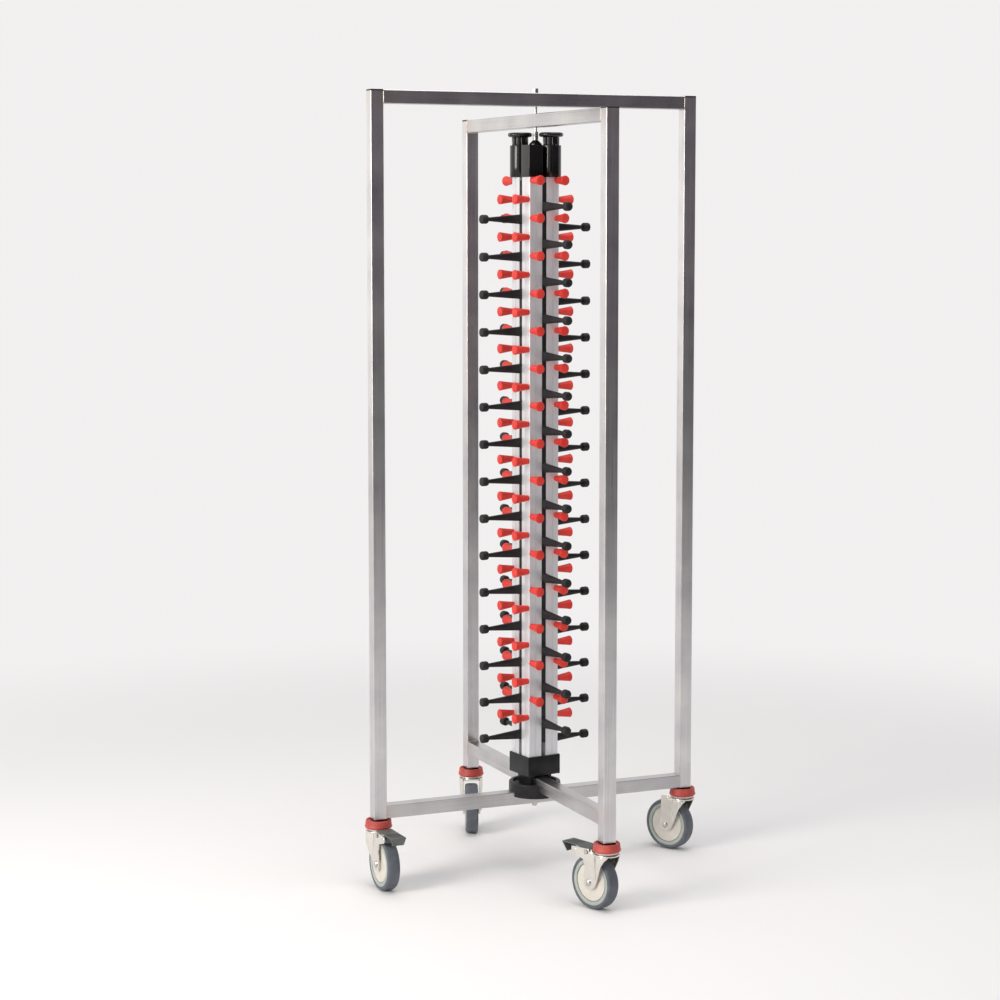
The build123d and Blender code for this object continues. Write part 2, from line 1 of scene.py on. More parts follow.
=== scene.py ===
# %% [markdown]
# # A tall rack on castors
#
# This rack keeps flat loads in rows, one above another. Two hoops of square stainless tube cross at right
# angles on four castors, and a column in the middle carries fifteen rows of arms and red cones on each face.
# The construction model comes in as a fixed frame. Everything below gives it its looks: finishes for
# the tubes and profiles, and new meshes for the moulded and pressed pieces whose soft edges catch light.
# Places are in metres and outlines in millimetres. Z is up, X runs along the outer hoop, and the front
# is -Y.

# %% Load the construction frame
import json
from math import atan2, cos, degrees, hypot, pi, radians, sin

import bmesh
import bpy
from mathutils import Matrix, Vector


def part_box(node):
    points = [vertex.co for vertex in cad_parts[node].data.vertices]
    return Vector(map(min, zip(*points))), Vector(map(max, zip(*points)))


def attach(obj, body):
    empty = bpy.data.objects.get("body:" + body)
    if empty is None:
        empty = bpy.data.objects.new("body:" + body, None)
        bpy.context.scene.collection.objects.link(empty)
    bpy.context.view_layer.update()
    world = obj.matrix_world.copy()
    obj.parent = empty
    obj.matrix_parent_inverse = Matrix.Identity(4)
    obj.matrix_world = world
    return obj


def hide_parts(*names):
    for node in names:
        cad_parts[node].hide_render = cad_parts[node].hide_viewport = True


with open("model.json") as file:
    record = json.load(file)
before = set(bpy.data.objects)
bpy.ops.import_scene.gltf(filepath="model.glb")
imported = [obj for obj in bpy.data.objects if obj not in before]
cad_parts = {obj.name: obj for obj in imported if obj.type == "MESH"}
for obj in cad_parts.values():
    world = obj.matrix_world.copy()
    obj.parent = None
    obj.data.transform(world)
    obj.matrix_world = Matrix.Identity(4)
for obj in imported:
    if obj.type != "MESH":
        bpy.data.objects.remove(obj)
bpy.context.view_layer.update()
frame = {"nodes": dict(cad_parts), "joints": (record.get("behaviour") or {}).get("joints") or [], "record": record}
MM = 0.001
joints = {joint["name"]: joint for joint in frame["joints"]}
mounts = {mount["name"]: mount for mount in frame["record"]["mounts"]}

# %% [markdown]
# ## The viewpoint
#
# The photograph was taken with a long lens from the front left, at the height of the upper rows. A shifted
# lens would keep the posts upright, but the shift would also push the rack off centre in every other view.
# So the camera is tilted down to the rack's middle instead, and only a small shift is left for the framing.

# %% Camera
CAMERA_AT = (-1.8275, -4.0968, 1.249)
CAMERA_TURN = radians(23.19)    # from the +Y direction towards +X
CAMERA_TILT = radians(-5.6)
LENS = 85.5
LENS_SHIFT = -0.05
SENSOR_WIDTH = 36

camera_data = bpy.data.cameras.new("studio_camera")
camera_data.sensor_width = SENSOR_WIDTH
camera_data.lens = LENS
camera_data.shift_y = LENS_SHIFT
camera = bpy.data.objects.new("studio_camera", camera_data)
camera.location = CAMERA_AT
camera.rotation_euler = (pi / 2 + CAMERA_TILT, 0, -CAMERA_TURN)
bpy.context.scene.collection.objects.link(camera)
bpy.context.scene.camera = camera
bpy.context.scene.view_settings.view_transform = "Standard"
print("camera stands", round(Vector(CAMERA_AT).length, 2), "m from the floor's centre")

# %% [markdown]
# ## Shader maths that reads like maths
#
# A procedural finish is mostly arithmetic on masks: noise times a falloff, one minus a streak. Wiring a
# Math node for each step hides the idea. A small class that wraps a socket and overloads the operators
# adds those nodes, so a finish can be written as an expression.

# %% The socket class
class Mask:
    """A value socket that can be added, subtracted and multiplied."""

    def __init__(self, tree, socket):
        self.tree = tree
        self.socket = socket

    def _math(self, operation, first, second):
        node = self.tree.nodes.new("ShaderNodeMath")
        node.operation = operation
        for place, value in enumerate((first, second)):
            if isinstance(value, Mask):
                self.tree.links.new(value.socket, node.inputs[place])
            else:
                node.inputs[place].default_value = value
        return Mask(self.tree, node.outputs[0])

    def __add__(self, other):
        return self._math("ADD", self, other)

    def __radd__(self, other):
        return self._math("ADD", other, self)

    def __sub__(self, other):
        return self._math("SUBTRACT", self, other)

    def __rsub__(self, other):
        return self._math("SUBTRACT", other, self)

    def __mul__(self, other):
        return self._math("MULTIPLY", self, other)

    def largest(self, other):
        return self._math("MAXIMUM", self, other)

    def smallest(self, other):
        return self._math("MINIMUM", self, other)

    def absolute(self):
        return self._math("ABSOLUTE", self, 0.0)


print("a", Mask.__name__, "can be used in sums and products")

# %% [markdown]
# A finish is a material with a Principled shader. The second class makes nodes for it: any node can be asked
# for by its type, with its sockets as named arguments, and the noise, ramp and blend that every finish needs
# have short names. All textures read Object coordinates, so a pattern keeps its real size on every piece.

# %% The finish class
class Finish:
    """A material being written. Its node method makes any node from a type, settings and sockets."""

    def __init__(self, name):
        self.material = bpy.data.materials.new(name)
        self.material.use_nodes = True
        self.tree = self.material.node_tree
        self.shader = self.tree.nodes["Principled BSDF"]
        self.position = self.node("ShaderNodeTexCoord", output="Object")

    def node(self, kind, settings=None, output=0, **sockets):
        node = self.tree.nodes.new(kind)
        for name, value in (settings or {}).items():
            setattr(node, name, value)
        for name, value in sockets.items():
            self._feed(node.inputs[name.replace("_", " ")], value)
        return Mask(self.tree, node.outputs[output])

    def _feed(self, socket, value):
        if isinstance(value, Mask):
            self.tree.links.new(value.socket, socket)
        else:
            socket.default_value = value

    def stretched(self, scale):
        """Object coordinates, multiplied along each axis."""
        return self.node("ShaderNodeMapping", Vector=self.position, Scale=scale)

    def noise(self, vector, scale, detail):
        """Soft noise, whose small detail is a little over half as strong as the next larger one."""
        return self.node("ShaderNodeTexNoise", Vector=vector, Scale=scale, Detail=detail, Roughness=0.55)

    def between(self, value, low, high):
        """A smooth ramp: 0 up to the low value, 1 from the high value on."""
        return self.node("ShaderNodeMapRange", {"interpolation_type": "SMOOTHSTEP"}, Value=value,
                         From_Min=low, From_Max=high)

    def blend(self, mask, first, second):
        """A colour between two colours."""
        mix = self.tree.nodes.new("ShaderNodeMix")
        mix.data_type = "RGBA"
        self._feed(mix.inputs["Factor"], mask)
        self._feed(mix.inputs[6], first)
        self._feed(mix.inputs[7], second)
        return Mask(self.tree, mix.outputs[2])

    def axis(self, letter):
        """The X, Y or Z coordinate."""
        return self.node("ShaderNodeSeparateXYZ", output=letter, Vector=self.position)

    def bump(self, height, strength, distance):
        return self.node("ShaderNodeBump", Height=height, Strength=strength, Distance=distance)

    def set(self, **sockets):
        """Feeds the shader's own sockets."""
        for name, value in sockets.items():
            self._feed(self.shader.inputs[name.replace("_", " ")], value)
        return self.material


def rgb(red, green, blue):
    """An opaque colour, in linear values."""
    return (red, green, blue, 1.0)


print("a", Finish.__name__, "can make nodes by their type")

# %% [markdown]
# ## Light and stage
#
# The photograph has a white sweep, a big soft light on the left and a dark studio in front of the rack.
# The dark studio matters: it is what the front faces of the polished posts mirror in their upper half,
# while their lower half mirrors the white floor, and their left faces mirror the bright side. So the stage
# has a pale floor, and a dark and a bright wall that only reflections see.
#
# The floor is white and matt near the rack, where it takes the shadows, and fades into an even glow farther
# out, so that no horizon shows.

# %% Floor
PALE = rgb(0.885, 0.872, 0.870)
FLOOR_SIZE = 30.0
WHITE_UNTIL = 0.9           # the floor is white and takes shadows this far from the rack's middle
BACKDROP_FROM = 2.6         # and beyond this it is the pale backdrop


def link_stage(obj):
    """Puts an object in the scene as stage, which is not a part of the rack."""
    bpy.context.scene.collection.objects.link(obj)
    return obj


def make_plane(name, width, height):
    """A flat rectangle round the origin, as part of the stage."""
    bm = bmesh.new()
    bmesh.ops.create_grid(bm, x_segments=1, y_segments=1, size=0.5)
    bmesh.ops.scale(bm, vec=(width, height, 1), verts=bm.verts)
    mesh = bpy.data.meshes.new(name)
    bm.to_mesh(mesh)
    bm.free()
    return link_stage(bpy.data.objects.new(name, mesh))


def floor_finish():
    """White sweep near the rack that fades into the pale backdrop."""
    paint = Finish("studio_floor")
    away = paint.node("ShaderNodeVectorMath", {"operation": "LENGTH"}, output="Value",
                      Vector=paint.position)
    fade = paint.between(away, WHITE_UNTIL, BACKDROP_FROM)
    paint.set(Base_Color=rgb(0.90, 0.885, 0.88), Roughness=0.9, Specular_IOR_Level=0.1)
    glow = paint.tree.nodes.new("ShaderNodeEmission")
    glow.inputs["Color"].default_value = PALE
    mix = paint.tree.nodes.new("ShaderNodeMixShader")
    paint.tree.links.new(fade.socket, mix.inputs[0])
    paint.tree.links.new(paint.shader.outputs[0], mix.inputs[1])
    paint.tree.links.new(glow.outputs[0], mix.inputs[2])
    paint.tree.links.new(mix.outputs[0], paint.tree.nodes["Material Output"].inputs[0])
    return paint.material


floor = make_plane("floor", FLOOR_SIZE, FLOOR_SIZE)
floor.data.materials.append(floor_finish())
print("floor is", FLOOR_SIZE, "m wide")

# %% [markdown]
# The world has two looks. The camera, mirrors and glass see the pale backdrop at full strength, and all
# other rays get a weaker and slightly blue light, because a backdrop that also lit the rack would wash out
# its shadows. The Light Path node tells the two kinds of ray apart.

# %% World
AMBIENT = 0.48
AMBIENT_COLOUR = rgb(0.96, 0.98, 1.0)

world = bpy.data.worlds.new("studio")
bpy.context.scene.world = world
world.use_nodes = True
sky = world.node_tree
path = sky.nodes.new("ShaderNodeLightPath")
seen = Mask(sky, path.outputs["Is Camera Ray"]) + Mask(sky, path.outputs["Is Glossy Ray"])
seen = seen + Mask(sky, path.outputs["Is Transmission Ray"])
backdrop = sky.nodes["Background"]
backdrop.inputs["Color"].default_value = PALE
ambient = sky.nodes.new("ShaderNodeBackground")
ambient.inputs["Color"].default_value = AMBIENT_COLOUR
ambient.inputs["Strength"].default_value = AMBIENT
choice = sky.nodes.new("ShaderNodeMixShader")
sky.links.new(seen.smallest(1.0).socket, choice.inputs[0])
sky.links.new(ambient.outputs[0], choice.inputs[1])
sky.links.new(backdrop.outputs[0], choice.inputs[2])
sky.links.new(choice.outputs[0], sky.nodes["World Output"].inputs[0])
print("world lights the rack at a strength of", AMBIENT)

# %% [markdown]
# The walls glow, and are hidden from the camera, from diffuse light and from shadows. That gives steel
# something dark and something bright to mirror, and changes nothing else. Each one's glow runs from the
# colour at its lower end to the colour at its upper end.

# %% Walls that are mirrored
WALL_SIZE = (9.0, 6.0)
WALLS = {   # foot of the wall, then the height and colour of the lower and upper end of its glow
    "dark_studio_wall": ((1.1, -3.4, 0), (0.1, rgb(0.0, 0.0, 0.0)), (1.5, rgb(0.132, 0.118, 0.134))),
    "bright_studio_wall": ((-3.4, 3.2, 0), (0.0, rgb(0.66, 0.64, 0.62)), (0.9, rgb(1.20, 1.17, 1.13))),
}


def mirrored_wall(name, foot, lower, upper):
    """An upright wall that faces the rack and that only reflections see."""
    wall = make_plane(name, *WALL_SIZE)
    tip_up = Matrix.Translation((0, 0, WALL_SIZE[1] / 2)) @ Matrix.Rotation(pi / 2, 4, "X")
    heading = atan2(foot[1], foot[0]) + pi / 2
    wall.data.transform(Matrix.Translation(foot) @ Matrix.Rotation(heading, 4, "Z") @ tip_up)
    wall.visible_camera = False
    wall.visible_diffuse = False
    wall.visible_shadow = False
    paint = Finish(name)
    glow = paint.blend(paint.between(paint.axis("Z"), lower[0], upper[0]), lower[1], upper[1])
    paint.set(Base_Color=rgb(0, 0, 0), Emission_Color=glow, Emission_Strength=1.0, Specular_IOR_Level=0.0)
    wall.data.materials.append(paint.material)


for name, (foot, lower, upper) in WALLS.items():
    mirrored_wall(name, foot, lower, upper)
print(len(WALLS), "walls are mirrored")

# %% [markdown]
# ## Lamps
#
# A product photograph is lit by large soft boxes, whose shadows have wide, soft edges. A point lamp would
# cut hard shadows, so both lamps here are area lights: a warm key on the left that gives the rack its shape,
# and a wide one overhead that opens the shadows under the arms.

# %% Lamps
def soft_box(name, at, aim, size, watts, colour):
    """A rectangular soft light that shines from one point towards another."""
    lamp = bpy.data.lights.new(name, "AREA")
    lamp.shape = "RECTANGLE"
    lamp.size, lamp.size_y = size
    lamp.energy = watts
    lamp.color = colour
    obj = bpy.data.objects.new(name, lamp)
    direction = Vector(aim) - Vector(at)
    obj.matrix_world = Matrix.Translation(at) @ direction.to_track_quat("-Z", "Y").to_matrix().to_4x4()
    bpy.context.scene.collection.objects.link(obj)


soft_box("key_left", at=(-3.2, -0.9, 1.7), aim=(0, 0, 0.6), size=(1.5, 1.8), watts=82,
         colour=(1.0, 0.96, 0.91))
soft_box("top", at=(0.2, -0.3, 3.4), aim=(0, 0, 0), size=(2.4, 2.4), watts=50, colour=(1.0, 0.99, 0.98))
print("lamps:", [lamp.name for lamp in bpy.data.lights])

# %% [markdown]
# ## Finishes
#
# A finish is a base colour, a roughness and mostly a little relief, which vary in the way that the real
# material does: ground steel along the grinding, extrusions along their length, mouldings in a fine even
# grain, rubber in soft blotches where hands and floors have marked it.
#
# The hoops come first. Their tube is ground by a belt that runs along it, which leaves streaks and finer
# scratches. Noise on coordinates that are stretched along the tube gives both, and a bump turns them into
# relief, so that highlights smear across the tube as they do on the real one. A band of straw colour is
# mixed in where the torch has heated the steel.

# %% Ground stainless tube
GROUND_DULL = (0.56, 0.545, 0.57)
GROUND_BRIGHT = (0.76, 0.745, 0.735)
HEAT_TINT = rgb(0.50, 0.42, 0.36)
WELD_BESIDE = 0.004         # how far from a weld's middle the tint is full
WELD_REACH = 0.045          # and how far it reaches


def stretch(axis, along, across):
    """Noise scales, in features per metre, that differ along one axis and across it."""
    return tuple(along if letter == axis else across for letter in "XYZ")


def ground_tube(name, axis, weld_places, painted_shade=1.0):
    """Square tube ground along its length, with a faint straw tint where bars are welded on."""
    # painted_shade scales both colours down: painted shade that stands in for the darker reflections on the bars
    dull, bright = (rgb(*(value * painted_shade for value in tone)) for tone in (GROUND_DULL, GROUND_BRIGHT))
    paint = Finish(name)
    streaks = paint.noise(paint.stretched(stretch(axis, 3.5, 480)), 1.0, detail=2.0)
    scratches = paint.noise(paint.stretched(stretch(axis, 14, 1500)), 1.0, detail=1.0)
    handling = paint.noise(paint.position, 9.0, detail=4.0)
    place = paint.axis(axis)
    first, second = (1.0 - paint.between((place - weld).absolute(), WELD_BESIDE, WELD_REACH)
                     for weld in weld_places)
    tint = first.largest(second)
    clean = paint.blend(paint.between(streaks * 0.35 + handling * 0.65, 0.32, 0.68), dull, bright)
    tinted = paint.blend(tint * paint.between(handling, 0.35, 0.7) * 0.55, clean, HEAT_TINT)
    paint.set(
        Base_Color=tinted,
        Metallic=1.0,
        Roughness=0.20 + streaks * 0.10 + handling * 0.10,
        Normal=paint.bump(scratches * 0.5 + streaks, 0.25, 0.00012),
    )
    return paint.material


bar_height = {name: sum(corner.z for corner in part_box(name)) / 2
              for name in ("outer_bottom_bar", "outer_top_bar", "inner_bottom_bar", "inner_top_bar")}
bar_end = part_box("outer_bottom_bar")[1].x
outer_post_steel = ground_tube("ground_steel_outer_post", "Z",
                               (bar_height["outer_bottom_bar"], bar_height["outer_top_bar"]))
inner_post_steel = ground_tube("ground_steel_inner_post", "Z",
                               (bar_height["inner_bottom_bar"], bar_height["inner_top_bar"]))
# The bars are the same steel as the posts; their darker colours are painted shade
outer_bar_steel = ground_tube("ground_steel_outer_bar", "X", (-bar_end, bar_end), painted_shade=0.80)
inner_bar_steel = ground_tube("ground_steel_inner_bar", "Y", (-bar_end, bar_end), painted_shade=0.78)


def give(node, finish):
    """Puts one finish on every slot of a construction node."""
    mesh = frame["nodes"][node].data
    mesh.materials.clear()
    mesh.materials.append(finish)


for side in ("left", "right"):
    give(f"outer_post_{side}", outer_post_steel)
for side in ("front", "rear"):
    give(f"inner_post_{side}", inner_post_steel)
for level in ("bottom", "top"):
    give(f"outer_{level}_bar", outer_bar_steel)
    give(f"inner_{level}_bar", inner_bar_steel)
print("hoops ground along their tubes, welds at", [round(height, 3) for height in bar_height.values()])

# %% [markdown]
# The column's corners are extruded aluminium with a satin anodised skin, the rod and the small hardware
# are zinc plated, and the forks are pressed from bright sheet. All three could share one metal shader, but
# each has its own texture: die lines, crystal patches and the slow waves that a press leaves. The anodised
# skin is partly a clear oxide, so it is only partly metallic.

# %% Anodised profiles, plated fasteners and pressed stainless
def anodised():
    """Satin extruded aluminium: soft die lines along the height."""
    paint = Finish("satin_aluminium")
    lines = paint.noise(paint.stretched((900, 900, 1.2)), 1.0, detail=2.0)
    broad = paint.noise(paint.stretched((120, 120, 0.8)), 1.0, detail=1.0)
    paint.set(
        Base_Color=paint.blend(broad, rgb(0.66, 0.66, 0.68), rgb(0.77, 0.77, 0.79)),
        Metallic=0.40,
        Roughness=0.38 + lines * 0.10,
        Normal=paint.bump(lines, 0.20, 0.0001),
    )
    return paint.material


def plated():
    """Zinc plate, with the small patches of its crystals."""
    paint = Finish("plated_steel")
    patches = paint.noise(paint.position, 260, detail=2.0)
    paint.set(
        Base_Color=paint.blend(patches, rgb(0.46, 0.45, 0.44), rgb(0.66, 0.64, 0.61)),
        Metallic=1.0,
        Roughness=0.22 + patches * 0.14,
    )
    return paint.material


def pressed_stainless():
    """Rolled sheet with the faint waviness that pressing leaves."""
    paint = Finish("pressed_stainless")
    rolled = paint.noise(paint.stretched((700, 700, 60)), 1.0, detail=2.0)
    waves = paint.noise(paint.position, 55, detail=1.0)
    paint.set(
        Base_Color=paint.blend(waves, rgb(0.70, 0.67, 0.62), rgb(0.82, 0.79, 0.73)),
        Metallic=1.0,
        Roughness=0.16 + rolled * 0.12,
        Normal=paint.bump(waves + rolled * 0.1, 0.15, 0.0004),
    )
    return paint.material


aluminium = anodised()
plated_steel = plated()
fork_steel = pressed_stainless()
for corner in ("rear_right", "rear_left", "front_left", "front_right"):
    give(f"corner_profile_{corner}", aluminium)
for node in ("tie_rod", "tie_rod_nuts", "clamp_jaws", "castor_stems", "swivel_races",
             "knob_stud_left", "knob_stud_right"):
    give(node, plated_steel)
print("profiles anodised, hardware plated, fork steel ready")

# %% [markdown]
# Everything else is moulded: cones and tyres of rubber, arms, pedals and wheel centres of nylon, head and
# knobs of polished plastic. One function writes them all, because they differ only in colour, gloss and
# relief. The second colour of each is where it has been rubbed a little paler.

# %% Mouldings and rubbers
BLOTCHES = 38               # features per metre
GRAIN = 900


def moulding(name, colour, paler, roughness, relief=0.00006, coat=0.0, sheen=0.5):
    """Moulded plastic or rubber: an even fine grain, and soft blotches that are a little paler."""
    paint = Finish(name)
    blotches = paint.noise(paint.position, BLOTCHES, detail=4.0)
    speck = paint.noise(paint.position, GRAIN, detail=2.0)
    paint.set(
        Base_Color=paint.blend(paint.between(blotches, 0.35, 0.75), colour, paler),
        Roughness=roughness + blotches * 0.12,
        Normal=paint.bump(speck, 0.35, relief),
        Coat_Weight=coat,
        Specular_IOR_Level=sheen,
    )
    return paint.material


red_rubber = moulding("red_rubber", rgb(0.66, 0.030, 0.020), rgb(0.78, 0.050, 0.034), 0.40, sheen=0.35)
arm_black = moulding("black_nylon", rgb(0.010, 0.010, 0.011), rgb(0.019, 0.018, 0.020), 0.36, sheen=0.30)
tip_black = moulding("black_rubber", rgb(0.008, 0.008, 0.009), rgb(0.020, 0.020, 0.020), 0.50, sheen=0.30)
head_black = moulding("polished_black", rgb(0.004, 0.004, 0.004), rgb(0.007, 0.006, 0.007), 0.07,
                      relief=0.00001, coat=0.15, sheen=0.38)
foot_black = moulding("satin_black", rgb(0.010, 0.010, 0.011), rgb(0.020, 0.019, 0.020), 0.34, sheen=0.25)
ring_red = moulding("brick_red_rubber", rgb(0.40, 0.046, 0.034), rgb(0.56, 0.085, 0.062), 0.45)
tyre_grey = moulding("grey_tyre_rubber", rgb(0.085, 0.095, 0.115), rgb(0.125, 0.138, 0.158), 0.52)
disc_cream = moulding("cream_nylon", rgb(0.66, 0.62, 0.55), rgb(0.74, 0.70, 0.62), 0.34)
rim_green = moulding("pale_green_rubber", rgb(0.37, 0.41, 0.38), rgb(0.45, 0.49, 0.45), 0.45)
pedal_grey = moulding("grey_nylon", rgb(0.085, 0.095, 0.090), rgb(0.125, 0.135, 0.128), 0.42)
for face in ("left", "front", "right", "rear"):
    give(f"strip_{face}", arm_black)
for node in ("post_plugs", "centre_core"):
    give(node, foot_black)
print("mouldings and rubbers mixed")

# %% [markdown]
# ## Making meshes
#
# Most of the moulded pieces are round, so they start as half an outline that is spun about the upright
# axis. Others start as a copy of the construction solid, whose loose triangles are joined and whose edges
# are then rounded: a real moulding never has a knife edge, and the thin bright line that a rounded edge
# catches is what makes it look moulded.

# %% Shapes from outlines and from construction solids
JOIN_WITHIN = 0.00002
FLAT_WITHIN = radians(1.0)
SHARP = radians(30)


def lathe(outline, steps):
    """Spins a (radius, height) outline in millimetres about Z."""
    bm = bmesh.new()
    verts = [bm.verts.new((radius * MM, 0, height * MM)) for radius, height in outline]
    edges = [bm.edges.new(pair) for pair in zip(verts, verts[1:])]
    bmesh.ops.spin(bm, geom=verts + edges, cent=(0, 0, 0), axis=(0, 0, 1), angle=2 * pi, steps=steps,
                   use_merge=True, use_duplicate=False)
    bmesh.ops.remove_doubles(bm, verts=bm.verts, dist=1e-6)
    return bm


def soften(bm, width):
    """Rounds every sharp edge by a width in millimetres."""
    sharp = [edge for edge in bm.edges if edge.calc_face_angle(0.0) > SHARP]
    bmesh.ops.bevel(bm, geom=sharp, offset=width * MM, offset_type="OFFSET", segments=2, profile=0.5,
                    affect="EDGES", clamp_overlap=True, material=-1)
    return bm


def solid_of(node):
    """A copy of a construction node whose loose triangles are joined and flat faces made whole."""
    bm = bmesh.new()
    bm.from_mesh(frame["nodes"][node].data)
    bmesh.ops.remove_doubles(bm, verts=bm.verts, dist=JOIN_WITHIN)
    bmesh.ops.dissolve_limit(bm, angle_limit=FLAT_WITHIN, verts=bm.verts, edges=bm.edges)
    return bm


print("edges sharper than", round(degrees(SHARP)), "degrees are rounded")

# %% [markdown]
# A piece often needs several shapes in one mesh, or one shape many times. Both go through a short-lived
# mesh, because a bmesh can read a mesh in as often as one likes. The last helper turns the result into an
# object: its normals are made to point outwards, edges that bend more than the crease angle stay sharp and
# all others are shaded smooth, it is hung on the empty of the body it rides on, and the construction nodes
# that it stands for are hidden.

# %% Moving, joining, repeating and finishing shapes
def moved(bm, matrix):
    """The same bmesh, with a transform applied to its points."""
    bmesh.ops.transform(bm, matrix=matrix, verts=bm.verts)
    return bm


def joined(*parts):
    """One bmesh from several."""
    whole = bmesh.new()
    for part in parts:
        mesh = bpy.data.meshes.new("part")
        part.to_mesh(mesh)
        part.free()
        whole.from_mesh(mesh)
        bpy.data.meshes.remove(mesh)
    return whole


def repeated(shape, places):
    """One bmesh that holds a shape at each of the places."""
    mesh = bpy.data.meshes.new("shape")
    shape.to_mesh(mesh)
    shape.free()
    whole = bmesh.new()
    for place in places:
        already = len(whole.verts)
        whole.from_mesh(mesh)
        whole.verts.ensure_lookup_table()
        bmesh.ops.transform(whole, matrix=place, verts=whole.verts[already:])
    bpy.data.meshes.remove(mesh)
    return whole


def piece(name, bm, finishes, body, stands_for=(), crease=32):
    """Turns a bmesh into an object that rides on a body and stands for construction nodes."""
    bmesh.ops.recalc_face_normals(bm, faces=bm.faces)
    for edge in bm.edges:
        edge.smooth = edge.calc_face_angle(pi) < radians(crease)
    for polygon in bm.faces:
        polygon.smooth = True
    mesh = bpy.data.meshes.new(name)
    bm.to_mesh(mesh)
    bm.free()
    for finish in finishes:
        mesh.materials.append(finish)
    obj = bpy.data.objects.new(name, mesh)
    bpy.context.scene.collection.objects.link(obj)
    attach(obj, body)
    if stands_for:
        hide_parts(*stands_for)


print("shapes can be moved, joined and repeated, and made into pieces")

# %% [markdown]
# ## Cones
#
# A hundred and twenty red cones hold down the rims of what stands on the arms. Each is a short taper with
# a rolled rim. The outline has a few points only, because the shape repeats so often, and it is spun once
# and then copied to every place on the column.

# %% Where the column stands
column_turn = atan2(mounts["plate_rest_right"]["pos_m"][1], mounts["plate_rest_right"]["pos_m"][0])
FACE_ANGLE = {"right": 0, "rear": pi / 2, "left": pi, "front": 3 * pi / 2}
ROWS = 15
PITCH = 70 * MM
COLUMN_HALF = 32.2 * MM
CONE_SIDE = 27 * MM
TO_OUTWARD = Matrix.Rotation(pi / 2, 4, "Y")    # lays a shape spun about Z along +X


def on_face(face, out, side, height):
    """The place on a face of the column: distances out from the rod, sideways and up."""
    turn = Matrix.Rotation(column_turn + FACE_ANGLE[face], 4, "Z")
    return turn @ Matrix.Translation((out, side, height)) @ TO_OUTWARD


def first_row(node, radius):
    """The height of the lowest middle, where round pieces of this radius stand in rows."""
    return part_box(node)[0].z + radius


print("column turned by", round(degrees(column_turn), 1), "degrees")

# %% Red cones
CONE_RADIUS = 9.3 * MM      # of the rim, which is the lowest part of a row
CONE_OUTLINE = [(5.5, 0.0), (5.2, 1.1), (8.7, 26.7), (9.3, 28.5), (9.2, 29.9), (8.4, 30.6), (4.7, 30.8),
                (0, 30.8)]
for faces in (("left", "right"), ("front", "rear")):
    node = "cones_" + "_".join(faces)
    bottom = first_row(node, CONE_RADIUS)
    places = [on_face(face, COLUMN_HALF, side * CONE_SIDE, bottom + row * PITCH)
              for face in faces for side in (-1, 1) for row in range(ROWS)]
    cones = repeated(lathe(CONE_OUTLINE, steps=20), places)
    piece("red_" + node, cones, [red_rubber], "column", [node], crease=50)
    print(node, "at", len(places), "places")

# %% [markdown]
# ## Arms and tips
#
# An arm is a tapered blade: tall and flat-sided where it leaves its strip, round where it enters its
# rubber tip. The same spin makes a plain rod, and each ring is then squared and stretched towards the root.

# %% Arms
ARM_ROOT_AT = 31.3
ARM_NECK_AT = 104.5
ARM_STATIONS = (0, 0.02, 0.05, 0.12, 0.3, 0.55, 0.8, 1.0)      # from root to neck
ARM_ROOT_WIDE = 4.5         # half sizes at the root
ARM_ROOT_TALL = 9.3
ARM_NECK = 3.5
CIRCLE = 2                  # squareness
ROOT_SQUARENESS = 3.0       # on top of the circle's
FLARE = 1.6                 # the fillet that grows the arm where it meets its strip
FLARE_SIDEWAYS = 0.1        # share of it that shows on the arm's flat sides
FLARE_ENDS = 0.05           # the station where it ends
TIP_RADIUS = 8.4 * MM


def squircle(angle, squareness):
    """The radius of a unit circle (squareness 2) that is swollen towards a square."""
    return (abs(cos(angle)) ** squareness + abs(sin(angle)) ** squareness) ** (-1 / squareness)


def blade():
    """A rod spun about Z whose rings are reshaped from round at the neck to squarish at the root."""
    length = ARM_NECK_AT - ARM_ROOT_AT
    bm = lathe([(1.0, station * length) for station in ARM_STATIONS], steps=20)
    for vert in bm.verts:
        station = min(1.0, vert.co.z / (length * MM))
        angle = atan2(vert.co.y, vert.co.x)
        reach = squircle(angle, CIRCLE + ROOT_SQUARENESS * (1 - station) ** 1.5)
        flare = FLARE * max(0.0, 1 - station / FLARE_ENDS) ** 2
        tall = ARM_ROOT_TALL + (ARM_NECK - ARM_ROOT_TALL) * station + flare
        wide = ARM_ROOT_WIDE + (ARM_NECK - ARM_ROOT_WIDE) * station + flare * FLARE_SIDEWAYS
        vert.co.x = -cos(angle) * reach * tall * MM
        vert.co.y = sin(angle) * reach * wide * MM
    return bm


TIP_OUTLINE = [(3.5, 104.5), (5.5, 104.6), (7.4, 105.5), (8.4, 107.6), (8.4, 111.2), (8.2, 112.0),
               (8.4, 112.8), (8.4, 116.5), (7.6, 118.5), (5.8, 119.4), (0, 119.5)]
for face in FACE_ANGLE:
    bottom = first_row(f"arm_tips_{face}", TIP_RADIUS)
    places = [on_face(face, 0, 0, bottom + row * PITCH) for row in range(ROWS)]
    arm_places = [place @ Matrix.Translation((0, 0, ARM_ROOT_AT * MM)) for place in places]
    piece(f"arm_blades_{face}", repeated(blade(), arm_places), [arm_black], f"stack_{face}",
          [f"arms_{face}"], crease=60)
    tips = repeated(lathe(TIP_OUTLINE, steps=22), places)
    piece(f"rubber_tips_{face}", tips, [tip_black], f"stack_{face}", [f"arm_tips_{face}"],
          crease=50)
print("four stacks of", ROWS, "arms, each with its tip")

# %% [markdown]
# ## Head, foot, hub and caps
#
# The head, the foot, the hub under it and the caps on the posts have shapes that the construction model
# already gives exactly, so a copy of each is joined and its edges are rounded. The head is the glossiest
# piece on the rack: its round housings mirror the soft box as upright streaks.

